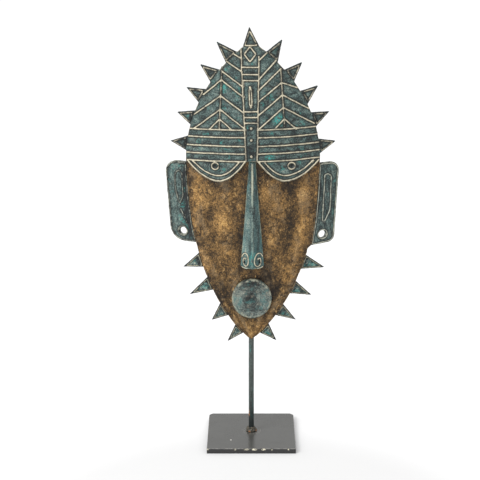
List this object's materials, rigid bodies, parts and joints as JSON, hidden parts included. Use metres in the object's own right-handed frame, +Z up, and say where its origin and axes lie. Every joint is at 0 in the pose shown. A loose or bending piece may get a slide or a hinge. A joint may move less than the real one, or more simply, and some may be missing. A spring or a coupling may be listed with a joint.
{
  "type": "decorative mask on stand",
  "caption": "Decorative metal mask with a rayed and threaded headdress, long nose, round dished mouth and pierced ears, on a rod and a square plate.",
  "frame": {"origin": "the middle of the base plate's underside, on the surface that it stands on", "axes": "+Z up, the mask looks along -Y, +X is the viewer's right when facing the mask"},
  "size_m": [0.1931, 0.1, 0.4716],
  "materials": {
    "brown_bronze": "satin",
    "verdigris_bronze": "satin",
    "grey_green_bronze": "satin",
    "dark_rod_patina": "satin",
    "braze": "satin",
    "black_enamel": "satin"
  },
  "bodies": {
    "root": {"face": "brown_bronze", "headdress": "verdigris_bronze", "nose": "verdigris_bronze", "mouth": "grey_green_bronze", "ear_left": "verdigris_bronze", "ear_right": "verdigris_bronze", "jaw_ray_left_1": "verdigris_bronze", "jaw_ray_left_2": "verdigris_bronze", "jaw_ray_left_3": "verdigris_bronze", "jaw_ray_left_4": "verdigris_bronze", "jaw_ray_right_1": "verdigris_bronze", "jaw_ray_right_2": "verdigris_bronze", "jaw_ray_right_3": "verdigris_bronze", "jaw_ray_right_4": "verdigris_bronze", "rod": "dark_rod_patina", "foot_weld": "braze", "base_plate": "black_enamel"}
  },
  "joints": []
}
